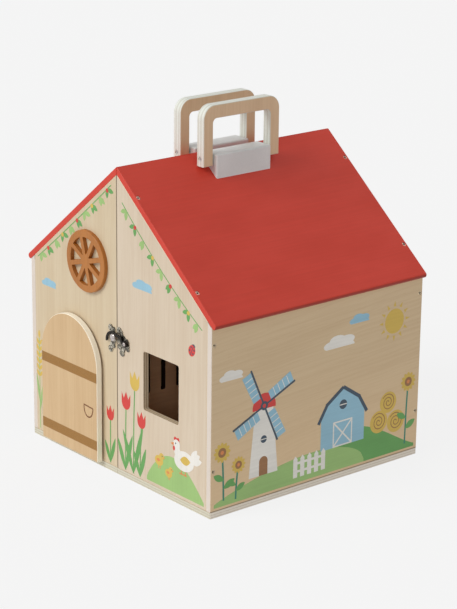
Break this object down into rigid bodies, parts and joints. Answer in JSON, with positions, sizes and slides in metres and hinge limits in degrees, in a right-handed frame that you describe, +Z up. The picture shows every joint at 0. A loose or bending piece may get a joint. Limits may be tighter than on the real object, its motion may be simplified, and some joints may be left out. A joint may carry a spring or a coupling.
{
  "type": "wooden toy farm",
  "caption": "House-shaped wooden toy farm that carries by fold-down handles and swings open on rear hinges into play rooms, with an arched door, a window and a hook latch in front.",
  "frame": {"origin": "centre of the base underside, under the ridge where the two halves meet", "axes": "+Z up; -Y towards the latched front gables; +X towards the half with the window; the ridge runs along Y"},
  "size_m": [0.2798, 0.2668, 0.3402],
  "materials": {
    "roof_red": "satin red paint on plywood",
    "block_white": "off-white satin paint on wood",
    "handle_beech": "clear-lacquered plywood faces with white painted edges",
    "wheel_stained": "orange-brown stained plywood",
    "door_ply": "clear-lacquered plywood with white painted edges",
    "base_ply": "clear-lacquered plywood with off-white edges",
    "wall_ply": "clear-lacquered birch plywood with printed decoration and off-white edges",
    "gable_ply": "clear-lacquered birch plywood with printed decoration",
    "inner_ply": "clear-lacquered birch plywood",
    "screw_steel": "zinc-plated steel",
    "hinge_steel": "nickel-plated steel",
    "latch_nickel": "bright nickel plate"
  },
  "bodies": {
    "left_half": {"left_base": "base_ply", "left_side_wall": "wall_ply", "left_front_gable": "gable_ply", "left_rear_gable": "gable_ply", "left_roof": "roof_red", "left_loft_floor": "inner_ply", "left_slotted_fence": "inner_ply", "left_handle_block": "block_white", "left_wheel_window": "wheel_stained", "left_wall_screws": "screw_steel", "left_roof_screws": "screw_steel", "left_base_screws": "screw_steel", "left_block_screws": "screw_steel", "left_pivot_screws": "screw_steel", "rear_hinge_lower_left_leaf": "hinge_steel", "rear_hinge_upper_left_leaf": "hinge_steel", "rear_hinge_lower_pin": "hinge_steel", "rear_hinge_upper_pin": "hinge_steel", "rear_hinge_screws_left": "screw_steel", "door_hinge_lower_gable_leaf": "hinge_steel", "door_hinge_upper_gable_leaf": "hinge_steel", "door_hinge_lower_pin": "hinge_steel", "door_hinge_upper_pin": "hinge_steel", "door_hinge_screws_gable": "screw_steel", "latch_catch_plate": "latch_nickel", "latch_stud": "latch_nickel", "latch_catch_nails": "screw_steel"},
    "right_half": {"right_base": "base_ply", "right_side_wall": "wall_ply", "right_front_gable": "gable_ply", "right_rear_gable": "gable_ply", "right_roof": "roof_red", "right_loft_floor": "inner_ply", "right_stall_divider": "inner_ply", "right_handle_block": "block_white", "right_wall_screws": "screw_steel", "right_roof_screws": "screw_steel", "right_base_screws": "screw_steel", "right_block_screws": "screw_steel", "right_pivot_screws": "screw_steel", "rear_hinge_lower_right_leaf": "hinge_steel", "rear_hinge_upper_right_leaf": "hinge_steel", "rear_hinge_screws_right": "screw_steel", "latch_hook_plate": "latch_nickel", "latch_rivet": "latch_nickel", "latch_hook_nails": "screw_steel"},
    "left_handle": {"left_handle": "handle_beech"},
    "right_handle": {"right_handle": "handle_beech"},
    "latch_hook": {"latch_hook": "latch_nickel"},
    "door": {"door_panel": "door_ply", "door_hinge_lower_door_leaf": "hinge_steel", "door_hinge_upper_door_leaf": "hinge_steel", "door_hinge_screws_door": "screw_steel"}
  },
  "joints": [
    {"name": "halves_open", "type": "hinge", "parent": "left_half", "child": "right_half", "pos_m": [0, 0.1297, 0.139], "axis": [0, 0, 1], "range_deg": [0, 180]},
    {"name": "right_handle_fold", "type": "hinge", "parent": "right_half", "child": "right_handle", "pos_m": [0.017, 0, 0.291], "axis": [0, 1, 0], "range_deg": [-13, 130]},
    {"name": "left_handle_fold", "type": "hinge", "parent": "left_half", "child": "left_handle", "pos_m": [-0.017, 0, 0.291], "axis": [0, -1, 0], "range_deg": [-13, 130]},
    {"name": "latch_hook_swing", "type": "hinge", "parent": "right_half", "child": "latch_hook", "pos_m": [0.0144, -0.1291, 0.1313], "axis": [0, 1, 0], "range_deg": [0, 110]},
    {"name": "door_open", "type": "hinge", "parent": "left_half", "child": "door", "pos_m": [-0.1112, -0.1287, 0.07], "axis": [0, 0, -1], "range_deg": [0, 110]}
  ]
}
